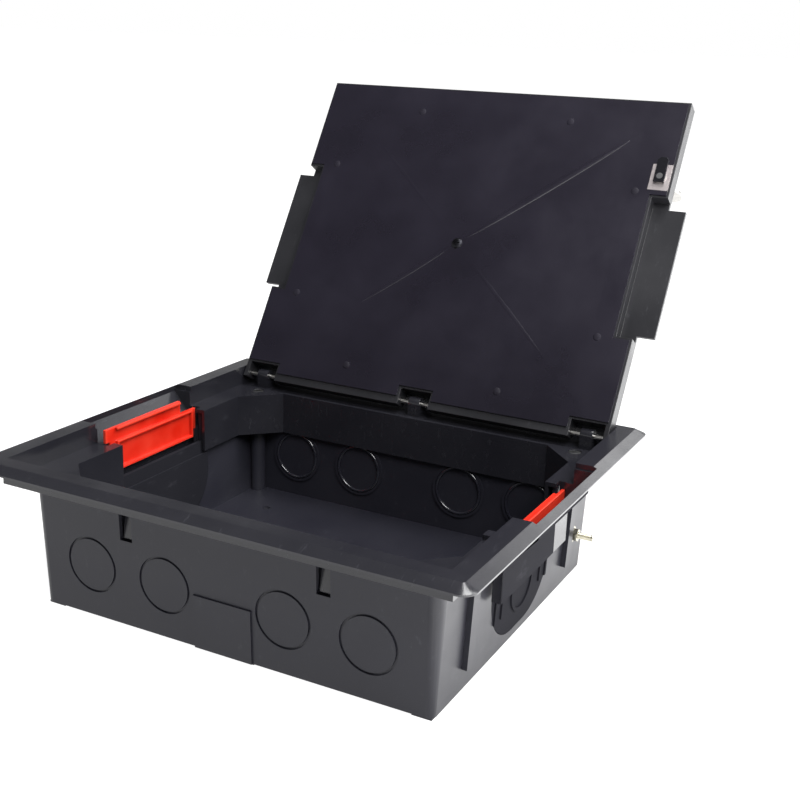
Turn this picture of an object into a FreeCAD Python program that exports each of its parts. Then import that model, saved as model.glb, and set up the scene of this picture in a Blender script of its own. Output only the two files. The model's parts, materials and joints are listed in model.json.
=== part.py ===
import FreeCAD, Part
import math
import os
import Sketcher

# Floor socket box for a raised or screeded floor, lid open on its stop.
# Frame: origin at the middle of the box's footprint, at the underside of its feet.
# +X along the hinge line, +Y towards the hinge, +Z up.  Lengths in millimetres, angles in degrees.

Vector = FreeCAD.Vector
Rotation = FreeCAD.Rotation
Placement = FreeCAD.Placement

doc = FreeCAD.newDocument("floor_socket_box")
sheet = doc.addObject("Spreadsheet::Sheet", "sizes")

CELLS = [
    # lower box
    ("box_length", 243), ("box_width", 208), ("box_top", 73), ("box_wall", 2.5), ("box_floor", 2.5),
    ("box_draft", 2.4), ("box_corner", 4), ("foot_height", 1.2), ("foot_length", 11),
    ("foot_width", 10), ("foot_inset", 1), ("middle_panel", 36), ("panel_top", 32),
    ("panel_proud", 1), ("knockout_near", 37), ("knockout_far", 86), ("knockout_height", 32.2),
    ("knockout_radius", 16.5), ("groove_width", 1.4), ("groove_depth", 1.1), ("collar_width", 1.6),
    ("collar_height", 1.2), ("snap_spacing", 122), ("snap_width", 8), ("snap_low", 52),
    ("snap_high", 67), ("snap_reach", 2.2), ("snap_play", 0.6), ("rib_place", 66), ("rib_width", 8),
    ("rib_proud", 3), ("rib_low", 14), ("column_radius", 5), ("column_inset_x", 6.5),
    ("column_inset_y", 6.5), ("floor_hole_x", 180), ("floor_hole_y", 140),
    ("floor_hole_radius", 2.75), ("hole_pad_radius", 6.5),
    # side entries
    ("entry_half", 42), ("entry_low", 6), ("entry_corner", 34), ("entry_play", 0.3),
    ("entry_top", 54), ("entry_rib_top", 38),
    ("entry_lip", 3), ("entry_lip_thick", 1.5), ("entry_lip_top", 46), ("entry_rib_width", 2),
    ("entry_rib_proud", 1), ("entry_rib_pitch", 9), ("entry_ring_radius", 15),
    # trim frame
    ("flange_length", 300), ("flange_width", 264), ("flange_under", 84), ("flange_edge", 1),
    ("bevel_height", 3), ("bevel_width", 6.5), ("flange_corner", 8), ("tub_wall", 2),
    ("ledge_thick", 2.4), ("seat_play", 0.3), ("opening_inset_x", 3.5), ("opening_inset_y", 4),
    ("opening_clip", 22),
    ("skirt_low", 48), ("skirt_thick", 2), ("skirt_play", 0.5), ("lid_play", 1), ("back_play", 2),
    ("swing_relief", 0.9), ("swing_zone", 14),
    # cable exits
    ("throat_half", 40), ("exit_half", 38.5), ("exit_wall", 2), ("chute_half", 44.6),
    ("chute_reach", 15.3),
    ("chute_lip", 83.5), ("chute_sill", 64), ("notch_half", 46), ("guide_half", 45.3),
    ("guide_wall", 1.7), ("guide_low", 40), ("guide_step", 62.5), ("web_play", 0.3),
    ("web_thick", 1.3), ("apron_thick", 1.5), ("shutter_thick", 2), ("shutter_play", 0.3),
    ("shutter_half", 41.5), ("shoulder_front", 45), ("shoulder_back", 26), ("shoulder_drop", 8.5),
    ("shutter_top", 84.5),
    ("shutter_height", 27), ("shutter_drop", 13), ("rim_half", 36.5), ("rim_deep", 2),
    ("rim_thick", 1.6),
    # lid
    ("lid_length", 264), ("lid_depth", 230), ("lid_thick", 12), ("plate_thick", 1.2),
    ("tray_floor", 2), ("tray_wall", 2), ("tray_round", 3), ("hinge_band", 12), ("ear_thick", 3),
    ("ear_reach", 11.2), ("ear_half", 43), ("step_half", 47.5), ("step_place", 121.5),
    ("plate_inset", 1.5), ("crease_height", 1.4), ("crease_gap", 1.5),
    ("crease_flat", 11), ("rivet_far_x", 110), ("rivet_near_y", 50),
    ("rivet_near_x", 55), ("rivet_far_y", 95.5), ("rivet_head", 2.6), ("rivet_rise", 0.6),
    ("rivet_radius", 1.6),
    # hinge
    ("hinge_setback", 3.8), ("hinge_drop", 5.3), ("open_angle", 122), ("stop_play", 0.3),
    ("station_x", 118), ("lug_width", 8), ("lug_radius", 4.2), ("slot_width", 22),
    ("slot_depth", 11), ("pin_radius", 1.5), ("pin_length", 27), ("running_play", 0.05),
    # lock
    ("lock_x", 124), ("lock_y", -61), ("case_length", 13), ("case_width", 18), ("plug_radius", 4),
    ("cam_reach", 13), ("cam_width", 7), ("cam_thick", 1.6), ("cam_drop", 0.8),
    ("cam_screw_radius", 2),
    ("lock_pocket_front", 16), ("lock_pocket_back", 14), ("strike_reach", 138),
    ("strike_wall", 1.4), ("strike_under", 71), ("key_bow", 8), ("key_thick", 1.8),
    ("key_shank", 6), ("key_hole", 2.5),
    # fasteners
    ("screw_radius", 2), ("screw_head", 4), ("screw_head_thick", 1.4), ("screw_length", 16),
    ("head_play", 0.2), ("stud_place", 80), ("stud_height", 30), ("stud_radius", 2),
    ("stud_reach", 14), ("stud_relief", 0.5), ("stud_head", 4), ("stud_head_thick", 3),
    ("washer_radius", 5), ("washer_thick", 1), ("nut_flats", 7), ("nut_thick", 3.2),
]
for row, (alias, amount) in enumerate(CELLS, start=1):
    sheet.set(f"A{row}", alias)
    sheet.set(f"B{row}", str(amount))
    sheet.setAlias(f"B{row}", alias)
doc.recompute()


class Size:
    """A length that knows its number and the sheet formula that gives it."""

    def __init__(self, number, text):
        self.number = float(number)
        self.text = text

    @staticmethod
    def of(other):
        return other if isinstance(other, Size) else Size(other, f"({float(other)})")

    def __add__(self, other):
        other = Size.of(other)
        return Size(self.number + other.number, f"({self.text} + {other.text})")

    def __sub__(self, other):
        other = Size.of(other)
        return Size(self.number - other.number, f"({self.text} - {other.text})")

    def __mul__(self, other):
        other = Size.of(other)
        return Size(self.number * other.number, f"({self.text} * {other.text})")

    def __truediv__(self, other):
        other = Size.of(other)
        return Size(self.number / other.number, f"({self.text} / {other.text})")

    def __neg__(self):
        return Size(-self.number, f"(-1 * {self.text})")

    def __radd__(self, other):
        return Size.of(other) + self

    def __rsub__(self, other):
        return Size.of(other) - self

    def __rmul__(self, other):
        return Size.of(other) * self


def sine(angle):
    return Size(math.sin(math.radians(angle.number)), f"sin({angle.text})")


def cosine(angle):
    return Size(math.cos(math.radians(angle.number)), f"cos({angle.text})")


def tangent(angle):
    return Size(math.tan(math.radians(angle.number)), f"tan({angle.text})")


def arctangent(ratio):
    return Size(math.degrees(math.atan(ratio.number)), f"(atan({ratio.text}) / 1 deg)")


class Sizes:
    """Reads a cell of the sheet by its alias."""

    def __getattr__(self, alias):
        return Size(sheet.get(alias), f"sizes.{alias}")


s = Sizes()
ZERO = Size(0, "0")

# ---------------------------------------------------------------- places worked out from the sizes

FLANGE_TOP = s.flange_under + s.flange_edge + s.bevel_height
LID_UNDER = FLANGE_TOP - s.lid_thick
PLATE_TOP = LID_UNDER + s.plate_thick
LEDGE_TOP = LID_UNDER - s.seat_play
RECESS_X = s.lid_length / 2 + s.lid_play
RECESS_FRONT = -(s.lid_depth / 2 + s.lid_play)
RECESS_BACK = s.lid_depth / 2 + s.back_play
HINGE_Y = s.lid_depth / 2 - s.hinge_setback
HINGE_Z = FLANGE_TOP - s.hinge_drop
EAR_UNDER = FLANGE_TOP - s.ear_thick
DRAFT_SLOPE = tangent(s.box_draft)
SKIRT_RISE = (s.skirt_low - s.foot_height) * DRAFT_SLOPE
SKIRT_X = s.box_length / 2 + SKIRT_RISE - s.box_wall - s.skirt_play
SKIRT_Y = s.box_width / 2 + SKIRT_RISE - s.box_wall - s.skirt_play
OVERHANG_X = s.box_length / 2 + (s.box_top - s.foot_height) * DRAFT_SLOPE
OVERHANG_Y = s.box_width / 2 + (s.box_top - s.foot_height) * DRAFT_SLOPE
COLUMN_X = s.box_length / 2 - s.column_inset_x
COLUMN_Y = s.box_width / 2 - s.column_inset_y
FLOOR_TOP = s.foot_height + s.box_floor
OPENING_X = s.box_length / 2 - s.opening_inset_x
OPENING_Y = s.box_width / 2 - s.opening_inset_y
WEB_IN = OVERHANG_X + s.web_play
SLOT_IN = WEB_IN + s.web_thick
SLOT_OUT = SLOT_IN + s.shutter_thick + 2 * s.shutter_play
APRON_OUT = SLOT_OUT + s.apron_thick
CHUTE_OUT = APRON_OUT + s.chute_reach
CAM_TOP = LID_UNDER - s.cam_drop
STATIONS = [("left", -s.station_x), ("middle", ZERO), ("right", s.station_x)]


# ---------------------------------------------------------------- drawing helpers


def bind(thing, prop, size):
    thing.setExpression(prop, size.text)


def new_body(name):
    body = doc.addObject("PartDesign::Body", name)
    body.Label = name
    return body


def sketch(body, role, name, offset=ZERO, lift=ZERO, tilt=None):
    """A sketch on an origin plane of the body, moved along its normal and tilted about its X."""
    plane = next(item for item in body.Origin.OriginFeatures if item.Role == role)
    drawing = body.newObject("Sketcher::SketchObject", f"{body.Name}_{name}")
    drawing.AttachmentSupport = (plane, [""])
    drawing.MapMode = "FlatFace"
    turn = 0 if tilt is None else tilt.number
    drawing.AttachmentOffset = Placement(Vector(0, lift.number, offset.number),
                                         Rotation(Vector(1, 0, 0), turn))
    bind(drawing, "AttachmentOffset.Base.z", offset)
    bind(drawing, "AttachmentOffset.Base.y", lift)
    if tilt is not None and tilt.number > 0:
        bind(drawing, "AttachmentOffset.Rotation.Angle", tilt)
    return drawing


def place_point(drawing, geometry, point, x, y):
    """Hold one point of a sketch at x, y from its origin."""
    for kind, size, axis in (("DistanceX", x, -2), ("DistanceY", y, -1)):
        if abs(size.number) < 1e-9:
            drawing.addConstraint(Sketcher.Constraint("PointOnObject", geometry, point, axis))
        else:
            spot = drawing.addConstraint(
                Sketcher.Constraint(kind, -1, 1, geometry, point, size.number))
            bind(drawing, f"Constraints[{spot}]", size)


def outline(drawing, points):
    """A closed outline of straight lines through the points."""
    points = [(Size.of(x), Size.of(y)) for x, y in points]
    first = drawing.GeometryCount
    count = len(points)
    for number, (x, y) in enumerate(points):
        after = points[(number + 1) % count]
        drawing.addGeometry(Part.LineSegment(Vector(x.number, y.number, 0),
                                             Vector(after[0].number, after[1].number, 0)), False)
    for number, (x, y) in enumerate(points):
        before = first + (number - 1) % count
        drawing.addConstraint(
            Sketcher.Constraint("Coincident", before, 2, first + number, 1))
        place_point(drawing, first + number, 1, x, y)


def rectangle(drawing, x_low, x_high, y_low, y_high):
    outline(drawing, [(x_low, y_low), (x_high, y_low), (x_high, y_high), (x_low, y_high)])


def circle(drawing, x, y, radius):
    x, y, radius = Size.of(x), Size.of(y), Size.of(radius)
    number = drawing.addGeometry(
        Part.Circle(Vector(x.number, y.number, 0), Vector(0, 0, 1), radius.number), False)
    place_point(drawing, number, 3, x, y)
    spot = drawing.addConstraint(Sketcher.Constraint("Radius", number, radius.number))
    bind(drawing, f"Constraints[{spot}]", radius)


def rounded_rectangle(drawing, half_x, half_y, corner):
    """A rectangle about the origin with four equal round corners."""
    flat_x, flat_y = half_x - corner, half_y - corner
    corners = [(flat_x, -flat_y, 270), (flat_x, flat_y, 0), (-flat_x, flat_y, 90),
               (-flat_x, -flat_y, 180)]
    arcs = []
    for x, y, start in corners:
        ring = Part.Circle(Vector(x.number, y.number, 0), Vector(0, 0, 1), corner.number)
        arc = Part.ArcOfCircle(ring, math.radians(start), math.radians(start + 90))
        arcs.append(drawing.addGeometry(arc, False))
    ends = []
    for x, y, start in corners:
        near, far = math.radians(start), math.radians(start + 90)
        ends.append([Vector(x.number + corner.number * math.cos(turn),
                            y.number + corner.number * math.sin(turn), 0) for turn in (near, far)])
    sides = [drawing.addGeometry(Part.LineSegment(ends[number][1], ends[(number + 1) % 4][0]), False)
             for number in range(4)]
    for number in range(4):
        drawing.addConstraint(Sketcher.Constraint("Tangent", arcs[number], 2, sides[number], 1))
        drawing.addConstraint(
            Sketcher.Constraint("Tangent", sides[number], 2, arcs[(number + 1) % 4], 1))
    for number, (x, y, start) in enumerate(corners):
        place_point(drawing, arcs[number], 3, x, y)
    spot = drawing.addConstraint(Sketcher.Constraint("Radius", arcs[0], corner.number))
    bind(drawing, f"Constraints[{spot}]", corner)


def entry_outline(drawing, half, low, high, corner):
    """A U: two upright sides, two round lower corners, open top closed by a straight line."""
    flat = half - corner
    left = Part.ArcOfCircle(Part.Circle(Vector(-flat.number, (low + corner).number, 0),
                                        Vector(0, 0, 1), corner.number), math.pi, 1.5 * math.pi)
    right = Part.ArcOfCircle(Part.Circle(Vector(flat.number, (low + corner).number, 0),
                                         Vector(0, 0, 1), corner.number), 1.5 * math.pi, 2 * math.pi)
    first = drawing.GeometryCount
    corner_left = Vector(-half.number, high.number, 0)
    corner_right = Vector(half.number, high.number, 0)
    bend_left = Vector(-half.number, (low + corner).number, 0)
    bend_right = Vector(half.number, (low + corner).number, 0)
    drawing.addGeometry(Part.LineSegment(corner_left, bend_left), False)
    drawing.addGeometry(left, False)
    drawing.addGeometry(Part.LineSegment(Vector(-flat.number, low.number, 0),
                                         Vector(flat.number, low.number, 0)), False)
    drawing.addGeometry(right, False)
    drawing.addGeometry(Part.LineSegment(bend_right, corner_right), False)
    drawing.addGeometry(Part.LineSegment(corner_right, corner_left), False)
    for before, after in ((0, 1), (1, 2), (2, 3), (3, 4)):
        drawing.addConstraint(
            Sketcher.Constraint("Tangent", first + before, 2, first + after, 1))
    for before, after in ((4, 5), (5, 0)):
        drawing.addConstraint(
            Sketcher.Constraint("Coincident", first + before, 2, first + after, 1))
    place_point(drawing, first, 1, -half, high)
    place_point(drawing, first + 5, 1, half, high)
    place_point(drawing, first + 1, 3, -flat, low + corner)
    place_point(drawing, first + 3, 3, flat, low + corner)


def extrude(kind, body, drawing, length, symmetric=False, back=False, taper=None):
    """A Pad or Pocket of a sketch; back turns it against the sketch's normal."""
    feature = body.newObject(f"PartDesign::{kind}", f"{drawing.Name}_{kind.lower()}")
    feature.Profile = drawing
    feature.Type = "Length"
    bind(feature, "Length", Size.of(length))
    feature.SideType = "Symmetric" if symmetric else "One side"
    feature.Reversed = back if kind == "Pad" else not back
    if taper is not None:
        bind(feature, "TaperAngle", taper)
    drawing.Visibility = False
    doc.recompute()
    return feature


def pad(body, drawing, length, **more):
    return extrude("Pad", body, drawing, length, **more)


def pocket(body, drawing, length, **more):
    before = body.Shape.Volume
    feature = extrude("Pocket", body, drawing, length, **more)
    if not body.Shape.Volume < before:
        raise RuntimeError(f"{feature.Name} cuts nothing")
    return feature


def wall_sketch(body, side, name, depth=ZERO):
    """A sketch in the plane of a drafted wall, depth below its outer face.

    Its Y runs up the wall from the foot of the box.  The second value says whether the sketch's
    normal points into the box.
    """
    role = "XZ_Plane" if side in ("front", "back") else "YZ_Plane"
    half = s.box_width / 2 if side in ("front", "back") else s.box_length / 2
    inward = side in ("back", "left")
    offset = half - depth
    drawing = sketch(body, role, name, -offset if inward else offset, lift=s.foot_height)
    turn = -s.box_draft if inward else s.box_draft
    drawing.AttachmentOffset = Placement(drawing.AttachmentOffset.Base,
                                         Rotation(Vector(1, 0, 0), turn.number))
    return drawing, inward


def up_wall(height):
    return (height - s.foot_height) / cosine(s.box_draft)


def both(size):
    return (-size, size)


# ---------------------------------------------------------------- lower box


def make_base_box():
    body = new_body("base_box")
    outer = sketch(body, "XY_Plane", "outside", s.foot_height)
    rounded_rectangle(outer, s.box_length / 2, s.box_width / 2, s.box_corner)
    pad(body, outer, s.box_top - s.foot_height, taper=s.box_draft)

    inner_rise = s.box_floor * DRAFT_SLOPE
    inner = sketch(body, "XY_Plane", "inside", FLOOR_TOP)
    rounded_rectangle(inner, s.box_length / 2 + inner_rise - s.box_wall,
                      s.box_width / 2 + inner_rise - s.box_wall, s.box_corner - s.box_wall)
    pocket(body, inner, s.box_top - FLOOR_TOP + 1, taper=s.box_draft)

    feet = sketch(body, "XY_Plane", "feet", ZERO)
    foot_x = s.box_length / 2 - s.foot_inset
    foot_y = s.box_width / 2 - s.foot_inset
    for near, far in ((foot_x - s.foot_length, foot_x), (-s.middle_panel / 2, s.middle_panel / 2),
                      (-foot_x, s.foot_length - foot_x)):
        rectangle(feet, near, far, foot_y - s.foot_width, foot_y)
        rectangle(feet, near, far, -foot_y, s.foot_width - foot_y)
    for x in both(s.floor_hole_x / 2):
        for y in both(s.floor_hole_y / 2):
            circle(feet, x, y, s.hole_pad_radius)
    pad(body, feet, s.foot_height)

    for side in ("front", "back"):
        panel, inward = wall_sketch(body, side, f"{side}_panel")
        rectangle(panel, -s.middle_panel / 2, s.middle_panel / 2, ZERO, up_wall(s.panel_top))
        pad(body, panel, s.panel_proud, back=inward)

        grooves, inward = wall_sketch(body, side, f"{side}_grooves")
        collars, inward = wall_sketch(body, side, f"{side}_collars", s.box_wall)
        ring_height = up_wall(s.knockout_height)
        for place in (s.knockout_near, s.knockout_far):
            for x in both(place):
                circle(grooves, x, ring_height, s.knockout_radius)
                circle(grooves, x, ring_height, s.knockout_radius - s.groove_width)
                circle(collars, x, ring_height, s.knockout_radius + s.collar_width)
                circle(collars, x, ring_height, s.knockout_radius)
        pocket(body, grooves, s.groove_depth, back=not inward)
        pad(body, collars, s.collar_height, back=not inward)

    for side in ("left", "right"):
        ribs, inward = wall_sketch(body, side, f"{side}_ribs")
        for near, far in ((s.rib_place, s.rib_place + s.rib_width),
                          (-s.rib_place - s.rib_width, -s.rib_place)):
            rectangle(ribs, near, far, up_wall(s.rib_low), up_wall(s.box_top))
        pad(body, ribs, s.rib_proud, back=inward)

    columns = sketch(body, "XY_Plane", "columns", FLOOR_TOP)
    bores = sketch(body, "XY_Plane", "column_bores", s.box_top - s.screw_length)
    for x in both(COLUMN_X):
        for y in both(COLUMN_Y):
            circle(columns, x, y, s.column_radius)
            circle(bores, x, y, s.screw_radius)
    pad(body, columns, s.box_top - FLOOR_TOP)
    pocket(body, bores, s.screw_length + 1)

    slots = sketch(body, "XZ_Plane", "snap_slots")
    for x in both(s.snap_spacing / 2):
        rectangle(slots, x - s.snap_width / 2, x + s.snap_width / 2, s.snap_low, s.snap_high)
    pocket(body, slots, s.flange_width, symmetric=True)

    entries = sketch(body, "YZ_Plane", "entries")
    entry_outline(entries, s.entry_half, s.entry_low, s.box_top + 1, s.entry_corner)
    pocket(body, entries, s.flange_length, symmetric=True)

    holes = sketch(body, "XY_Plane", "floor_holes")
    for x in both(s.floor_hole_x / 2):
        for y in both(s.floor_hole_y / 2):
            circle(holes, x, y, s.floor_hole_radius)
    pocket(body, holes, FLOOR_TOP + 1)

    stud_hole = sketch(body, "YZ_Plane", "stud_hole", s.box_length / 4)
    circle(stud_hole, s.stud_place, s.stud_height, s.stud_radius + s.stud_relief + s.head_play)
    pocket(body, stud_hole, s.box_length / 4 + 2 * s.box_wall)
    return body


def make_entry_plate(side):
    """A plate that drops into the U of a side wall, with a lip inside and ribs outside."""
    body = new_body(f"{side}_entry_plate")
    low = up_wall(s.entry_low + s.entry_play)
    high = up_wall(s.entry_top)
    half = s.entry_half - s.entry_play
    corner = s.entry_corner - s.entry_play
    plate, inward = wall_sketch(body, side, "plate")
    entry_outline(plate, half, low, high, corner)
    pad(body, plate, s.box_wall + s.entry_play, back=not inward)
    lip, inward = wall_sketch(body, side, "lip", s.box_wall + s.entry_play / 2)
    entry_outline(lip, half + s.entry_lip, low - s.entry_lip / 2, up_wall(s.entry_lip_top),
                  corner)
    pad(body, lip, s.entry_lip_thick, back=not inward)
    ribs, inward = wall_sketch(body, side, "ribs")
    middle = (low + high) / 2
    for number in (-4, -3, 3, 4):
        x = number * s.entry_rib_pitch
        rectangle(ribs, x - s.entry_rib_width / 2, x + s.entry_rib_width / 2,
                  middle - s.entry_rib_pitch, up_wall(s.entry_rib_top))
    circle(ribs, ZERO, middle, s.entry_ring_radius)
    circle(ribs, ZERO, middle, s.entry_ring_radius - s.entry_rib_width)
    pad(body, ribs, s.entry_rib_proud, back=inward)
    return body


# ---------------------------------------------------------------- trim frame


def clipped_outline(drawing, half_x, half_y, clip):
    outline(drawing, [(half_x, clip - half_y), (half_x, half_y - clip), (half_x - clip, half_y),
                      (clip - half_x, half_y), (-half_x, half_y - clip), (-half_x, clip - half_y),
                      (clip - half_x, -half_y), (half_x - clip, -half_y)])


def make_rim_frame():
    body = new_body("rim_frame")
    flange = sketch(body, "XY_Plane", "flange", s.flange_under)
    rounded_rectangle(flange, s.flange_length / 2, s.flange_width / 2, s.flange_corner)
    pad(body, flange, s.flange_edge)
    bevel = sketch(body, "XY_Plane", "bevel", s.flange_under + s.flange_edge)
    rounded_rectangle(bevel, s.flange_length / 2, s.flange_width / 2, s.flange_corner)
    pad(body, bevel, s.bevel_height, taper=-arctangent(s.bevel_width / s.bevel_height))

    tub = sketch(body, "XY_Plane", "tub", LEDGE_TOP - s.ledge_thick)
    rectangle(tub, -(RECESS_X + s.tub_wall), RECESS_X + s.tub_wall, RECESS_FRONT - s.tub_wall,
              RECESS_BACK + s.tub_wall)
    pad(body, tub, s.flange_under + s.ledge_thick - LEDGE_TOP)

    skirt = sketch(body, "XY_Plane", "skirt", s.skirt_low)
    clip = s.opening_clip + (2 - 2 ** 0.5) * s.skirt_thick
    clipped_outline(skirt, OPENING_X + s.skirt_thick, OPENING_Y + s.skirt_thick,
                    clip)
    pad(body, skirt, LEDGE_TOP - s.skirt_low)

    # cable exits: a sloping chute outside each side wall, and the slot its shutter slides in
    for side in (-1, 1):
        name = "left" if side < 0 else "right"
        block = sketch(body, "XZ_Plane", f"{name}_chute")
        outline(block, [(side * WEB_IN, s.flange_under), (side * (CHUTE_OUT + s.exit_wall),
                        s.flange_under), (side * (CHUTE_OUT + s.exit_wall),
                        s.chute_lip - s.exit_wall), (side * APRON_OUT, s.chute_sill - s.exit_wall),
                        (side * APRON_OUT, s.guide_low), (side * WEB_IN, s.guide_low)])
        pad(body, block, 2 * (s.guide_half + s.guide_wall), symmetric=True)

    recess = sketch(body, "XY_Plane", "recess", LEDGE_TOP)
    rectangle(recess, -RECESS_X, RECESS_X, RECESS_FRONT, RECESS_BACK)
    pocket(body, recess, s.lid_thick + 1)

    opening = sketch(body, "XY_Plane", "opening", s.skirt_low - 1)
    clipped_outline(opening, OPENING_X, OPENING_Y, s.opening_clip)
    pocket(body, opening, s.lid_thick + LEDGE_TOP - s.skirt_low)

    # the lid's lower back edge dips as it swings, and its top leans on a bevelled stop
    relief = sketch(body, "XY_Plane", "swing_relief", LEDGE_TOP - s.swing_relief)
    rectangle(relief, -RECESS_X, RECESS_X, RECESS_BACK - s.swing_zone, RECESS_BACK)
    pocket(body, relief, s.lid_thick)
    lean = sine(s.open_angle)
    fall = cosine(s.open_angle)
    stop_top = HINGE_Y + (s.hinge_drop * (1 - fall) + s.stop_play) / lean
    stop_low = HINGE_Z + (s.hinge_drop + s.stop_play - (RECESS_BACK - HINGE_Y) * lean) / fall
    stop = sketch(body, "YZ_Plane", "lid_stop")
    outline(stop, [(RECESS_BACK - 1, stop_low), (RECESS_BACK, stop_low), (stop_top, FLANGE_TOP),
                   (stop_top, FLANGE_TOP + 1), (RECESS_BACK - 1, FLANGE_TOP + 1)])
    pocket(body, stop, 2 * RECESS_X, symmetric=True)

    for name, x in STATIONS:
        lug = sketch(body, "YZ_Plane", f"{name}_lug", x)
        lug_low = LEDGE_TOP - s.swing_relief - s.ledge_thick / 4
        rectangle(lug, HINGE_Y - s.lug_radius, RECESS_BACK + s.tub_wall / 2, lug_low, HINGE_Z)
        pad(body, lug, s.lug_width, symmetric=True)
        eye = sketch(body, "YZ_Plane", f"{name}_eye", x)
        circle(eye, HINGE_Y, HINGE_Z, s.lug_radius)
        pad(body, eye, s.lug_width, symmetric=True)
        bore = sketch(body, "YZ_Plane", f"{name}_bore", x)
        circle(bore, HINGE_Y, HINGE_Z, s.pin_radius + s.running_play)
        pocket(body, bore, s.lug_width + 2, symmetric=True)

    for side in (-1, 1):
        name = "left" if side < 0 else "right"
        hollow = sketch(body, "XZ_Plane", f"{name}_chute_hollow")
        outline(hollow, [(side * (SLOT_OUT - 0.2), FLANGE_TOP + 1),
                         (side * CHUTE_OUT, FLANGE_TOP + 1), (side * CHUTE_OUT, s.chute_lip),
                         (side * SLOT_OUT, s.chute_sill), (side * (SLOT_OUT - 0.2), s.chute_sill)])
        pocket(body, hollow, 2 * s.chute_half, symmetric=True)
        notch = sketch(body, "XY_Plane", f"{name}_notch", EAR_UNDER - s.seat_play)
        rectangle(notch, side * SLOT_IN, side * CHUTE_OUT, -s.notch_half, s.notch_half)
        pocket(body, notch, s.ear_thick + 1)
        shoulder_slot = sketch(body, "XY_Plane", f"{name}_shoulder_slot", s.guide_step)
        rectangle(shoulder_slot, side * (WEB_IN - 0.2), side * SLOT_OUT, -s.guide_half,
                  s.guide_half)
        pocket(body, shoulder_slot, FLANGE_TOP - s.guide_step + 1)
        slot = sketch(body, "XY_Plane", f"{name}_slot", s.guide_low - 1)
        slot_half = s.shutter_half + s.shutter_play
        rectangle(slot, side * SLOT_IN, side * SLOT_OUT, -slot_half, slot_half)
        pocket(body, slot, FLANGE_TOP - s.guide_low + 2)
        mouth = sketch(body, "XY_Plane", f"{name}_mouth", s.guide_low - 1)
        rectangle(mouth, side * (WEB_IN - 0.2), side * (SLOT_IN + 0.2), -s.exit_half, s.exit_half)
        pocket(body, mouth, FLANGE_TOP - s.guide_low + 2)
        throat = sketch(body, "XY_Plane", f"{name}_throat", s.skirt_low - 1)
        rectangle(throat, side * (OPENING_X - 1), side * WEB_IN, -s.throat_half,
                  s.throat_half)
        pocket(body, throat, FLANGE_TOP - s.skirt_low + 2)

    # lock: a strike pocket outside the recess, and room for the cam to swing
    front = s.lock_y - s.lock_pocket_front
    back = s.lock_y + s.lock_pocket_back
    strike = sketch(body, "XY_Plane", "strike", s.strike_under)
    rectangle(strike, RECESS_X + s.tub_wall / 2, s.strike_reach + s.strike_wall, front - s.strike_wall,
              back + s.strike_wall)
    pad(body, strike, s.flange_under - s.strike_under)
    room_low = CAM_TOP - s.cam_thick - s.cam_drop
    cam_room = sketch(body, "XY_Plane", "cam_room", room_low)
    rectangle(cam_room, OPENING_X - 1, s.strike_reach, front, back)
    pocket(body, cam_room, s.cam_thick + 1.5 * s.cam_drop)
    way_in = sketch(body, "XY_Plane", "lock_way_in", room_low)
    rectangle(way_in, OPENING_X - 1, RECESS_X, front, back)
    pocket(body, way_in, s.lid_thick)

    heads = sketch(body, "XY_Plane", "screw_heads", LEDGE_TOP - s.screw_head_thick - s.head_play)
    shanks = sketch(body, "XY_Plane", "screw_shanks", LEDGE_TOP - s.ledge_thick - 1)
    for x in both(COLUMN_X):
        for y in both(COLUMN_Y):
            circle(heads, x, y, s.screw_head + s.head_play)
            circle(shanks, x, y, s.screw_radius + s.head_play)
    pocket(body, heads, s.screw_head_thick + s.head_play + 1)
    pocket(body, shanks, s.ledge_thick + 1)

    # snap tongues that show through the slots of the box
    for x, name in ((-s.snap_spacing / 2, "left"), (s.snap_spacing / 2, "right")):
        tongue = sketch(body, "YZ_Plane", f"{name}_tongue", x)
        for y_sign in (-1, 1):
            face = OPENING_Y + s.skirt_thick
            outline(tongue, [(y_sign * (face - s.skirt_thick / 2), s.snap_high - s.snap_play),
                             (y_sign * face, s.snap_high - s.snap_play),
                             (y_sign * (face + s.snap_reach), s.snap_low + 3 * s.snap_play),
                             (y_sign * (face + s.snap_reach), s.snap_low + s.snap_play),
                             (y_sign * (face - s.skirt_thick / 2), s.snap_low + s.snap_play)])
        pad(body, tongue, s.snap_width - 2 * s.snap_play, symmetric=True)
    return body


def make_shutter(side):
    """A cable-exit shutter, raised: plate, a tab at its top, a rim round its inner face.

    Both sides use one moulding, so the right one is the left one turned half round.
    """
    body = new_body("left_shutter" if side < 0 else "right_shutter")
    inner = SLOT_IN + s.shutter_play
    low = s.shutter_top - s.shutter_height
    shoulder = s.shutter_top - s.shoulder_drop
    face = sketch(body, "YZ_Plane", "face", side * inner)
    outline(face, [(side * s.shutter_half, low), (-side * s.shutter_half, low),
                   (-side * s.shutter_half, shoulder), (-side * s.shoulder_back, shoulder),
                   (-side * s.shoulder_back, s.shutter_top), (side * s.shoulder_front, s.shutter_top),
                   (side * s.shoulder_front, shoulder), (side * s.shutter_half, shoulder)])
    pad(body, face, s.shutter_thick, back=side < 0)
    rim = sketch(body, "YZ_Plane", "rim", side * inner)
    rectangle(rim, -s.rim_half, s.rim_half, low, shoulder)
    rectangle(rim, s.rim_thick - s.rim_half, s.rim_half - s.rim_thick, low + s.rim_thick,
              shoulder - s.rim_thick)
    pad(body, rim, s.rim_deep, back=side > 0)
    bead = sketch(body, "YZ_Plane", "bead", side * inner)
    rectangle(bead, side * s.rim_half, -side * (s.shoulder_back - s.rim_thick),
              s.shutter_top - s.rim_thick, s.shutter_top)
    pad(body, bead, s.rim_deep, back=side > 0)
    if side > 0:
        body.Placement = Placement(Vector(0, 0, -s.shutter_drop.number), Rotation())
        bind(body, "Placement.Base.z", -s.shutter_drop)
    return body


# ---------------------------------------------------------------- lid, drawn closed


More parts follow.
